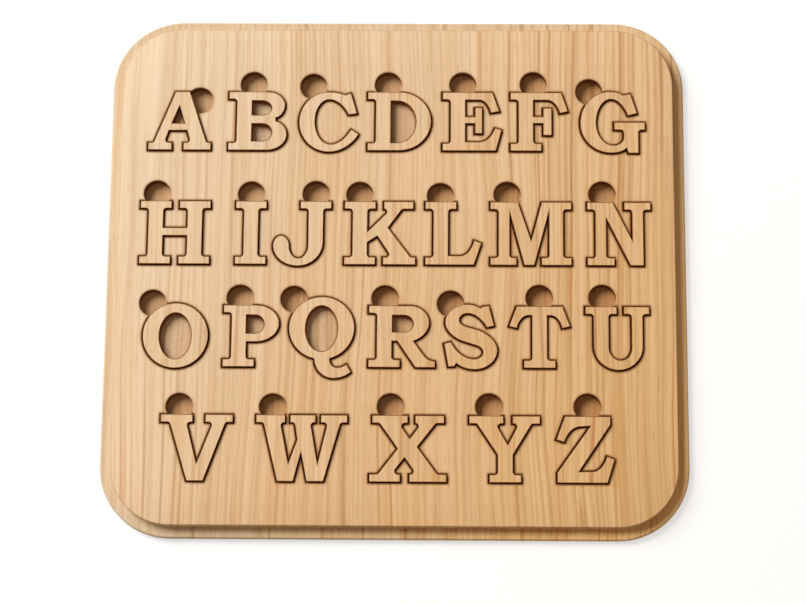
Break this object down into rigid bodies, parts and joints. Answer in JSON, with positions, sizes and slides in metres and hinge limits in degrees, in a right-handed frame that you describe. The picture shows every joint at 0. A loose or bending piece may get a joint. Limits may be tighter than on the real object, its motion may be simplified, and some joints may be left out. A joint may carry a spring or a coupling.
{
  "type": "alphabet puzzle",
  "caption": "Wooden alphabet tray puzzle: slab-serif capitals stand in matching cut-outs of a face plate on a wider backing board and lift out by round finger holes.",
  "frame": {"origin": "centre of the underside of the backing board, which is the bottom centre of the whole puzzle", "axes": "the puzzle lies on its back: +X along the rows of letters in reading direction, +Y from the last row towards the first, +Z out of the face"},
  "size_m": [0.3298, 0.3028, 0.0115],
  "materials": {
    "backing": "sanded, clear matt",
    "face": "sanded, clear matt",
    "letter": "sanded, clear matt"
  },
  "bodies": {
    "board": {"base_board": "backing", "face_plate": "face"},
    "letter_A": {"letter_A": "letter"},
    "letter_B": {"letter_B": "letter"},
    "letter_C": {"letter_C": "letter"},
    "letter_D": {"letter_D": "letter"},
    "letter_E": {"letter_E": "letter"},
    "letter_F": {"letter_F": "letter"},
    "letter_G": {"letter_G": "letter"},
    "letter_H": {"letter_H": "letter"},
    "letter_I": {"letter_I": "letter"},
    "letter_J": {"letter_J": "letter"},
    "letter_K": {"letter_K": "letter"},
    "letter_L": {"letter_L": "letter"},
    "letter_M": {"letter_M": "letter"},
    "letter_N": {"letter_N": "letter"},
    "letter_O": {"letter_O": "letter"},
    "letter_P": {"letter_P": "letter"},
    "letter_Q": {"letter_Q": "letter"},
    "letter_R": {"letter_R": "letter"},
    "letter_S": {"letter_S": "letter"},
    "letter_T": {"letter_T": "letter"},
    "letter_U": {"letter_U": "letter"},
    "letter_V": {"letter_V": "letter"},
    "letter_W": {"letter_W": "letter"},
    "letter_X": {"letter_X": "letter"},
    "letter_Y": {"letter_Y": "letter"},
    "letter_Z": {"letter_Z": "letter"}
  },
  "joints": [
    {"name": "letter_A_lift", "type": "slide", "parent": "board", "child": "letter_A", "axis": [0, 0, 1], "range_m": [0, 0.03]},
    {"name": "letter_B_lift", "type": "slide", "parent": "board", "child": "letter_B", "axis": [0, 0, 1], "range_m": [0, 0.03]},
    {"name": "letter_C_lift", "type": "slide", "parent": "board", "child": "letter_C", "axis": [0, 0, 1], "range_m": [0, 0.03]},
    {"name": "letter_D_lift", "type": "slide", "parent": "board", "child": "letter_D", "axis": [0, 0, 1], "range_m": [0, 0.03]},
    {"name": "letter_E_lift", "type": "slide", "parent": "board", "child": "letter_E", "axis": [0, 0, 1], "range_m": [0, 0.03]},
    {"name": "letter_F_lift", "type": "slide", "parent": "board", "child": "letter_F", "axis": [0, 0, 1], "range_m": [0, 0.03]},
    {"name": "letter_G_lift", "type": "slide", "parent": "board", "child": "letter_G", "axis": [0, 0, 1], "range_m": [0, 0.03]},
    {"name": "letter_H_lift", "type": "slide", "parent": "board", "child": "letter_H", "axis": [0, 0, 1], "range_m": [0, 0.03]},
    {"name": "letter_I_lift", "type": "slide", "parent": "board", "child": "letter_I", "axis": [0, 0, 1], "range_m": [0, 0.03]},
    {"name": "letter_J_lift", "type": "slide", "parent": "board", "child": "letter_J", "axis": [0, 0, 1], "range_m": [0, 0.03]},
    {"name": "letter_K_lift", "type": "slide", "parent": "board", "child": "letter_K", "axis": [0, 0, 1], "range_m": [0, 0.03]},
    {"name": "letter_L_lift", "type": "slide", "parent": "board", "child": "letter_L", "axis": [0, 0, 1], "range_m": [0, 0.03]},
    {"name": "letter_M_lift", "type": "slide", "parent": "board", "child": "letter_M", "axis": [0, 0, 1], "range_m": [0, 0.03]},
    {"name": "letter_N_lift", "type": "slide", "parent": "board", "child": "letter_N", "axis": [0, 0, 1], "range_m": [0, 0.03]},
    {"name": "letter_O_lift", "type": "slide", "parent": "board", "child": "letter_O", "axis": [0, 0, 1], "range_m": [0, 0.03]},
    {"name": "letter_P_lift", "type": "slide", "parent": "board", "child": "letter_P", "axis": [0, 0, 1], "range_m": [0, 0.03]},
    {"name": "letter_Q_lift", "type": "slide", "parent": "board", "child": "letter_Q", "axis": [0, 0, 1], "range_m": [0, 0.03]},
    {"name": "letter_R_lift", "type": "slide", "parent": "board", "child": "letter_R", "axis": [0, 0, 1], "range_m": [0, 0.03]},
    {"name": "letter_S_lift", "type": "slide", "parent": "board", "child": "letter_S", "axis": [0, 0, 1], "range_m": [0, 0.03]},
    {"name": "letter_T_lift", "type": "slide", "parent": "board", "child": "letter_T", "axis": [0, 0, 1], "range_m": [0, 0.03]},
    {"name": "letter_U_lift", "type": "slide", "parent": "board", "child": "letter_U", "axis": [0, 0, 1], "range_m": [0, 0.03]},
    {"name": "letter_V_lift", "type": "slide", "parent": "board", "child": "letter_V", "axis": [0, 0, 1], "range_m": [0, 0.03]},
    {"name": "letter_W_lift", "type": "slide", "parent": "board", "child": "letter_W", "axis": [0, 0, 1], "range_m": [0, 0.03]},
    {"name": "letter_X_lift", "type": "slide", "parent": "board", "child": "letter_X", "axis": [0, 0, 1], "range_m": [0, 0.03]},
    {"name": "letter_Y_lift", "type": "slide", "parent": "board", "child": "letter_Y", "axis": [0, 0, 1], "range_m": [0, 0.03]},
    {"name": "letter_Z_lift", "type": "slide", "parent": "board", "child": "letter_Z", "axis": [0, 0, 1], "range_m": [0, 0.03]}
  ]
}
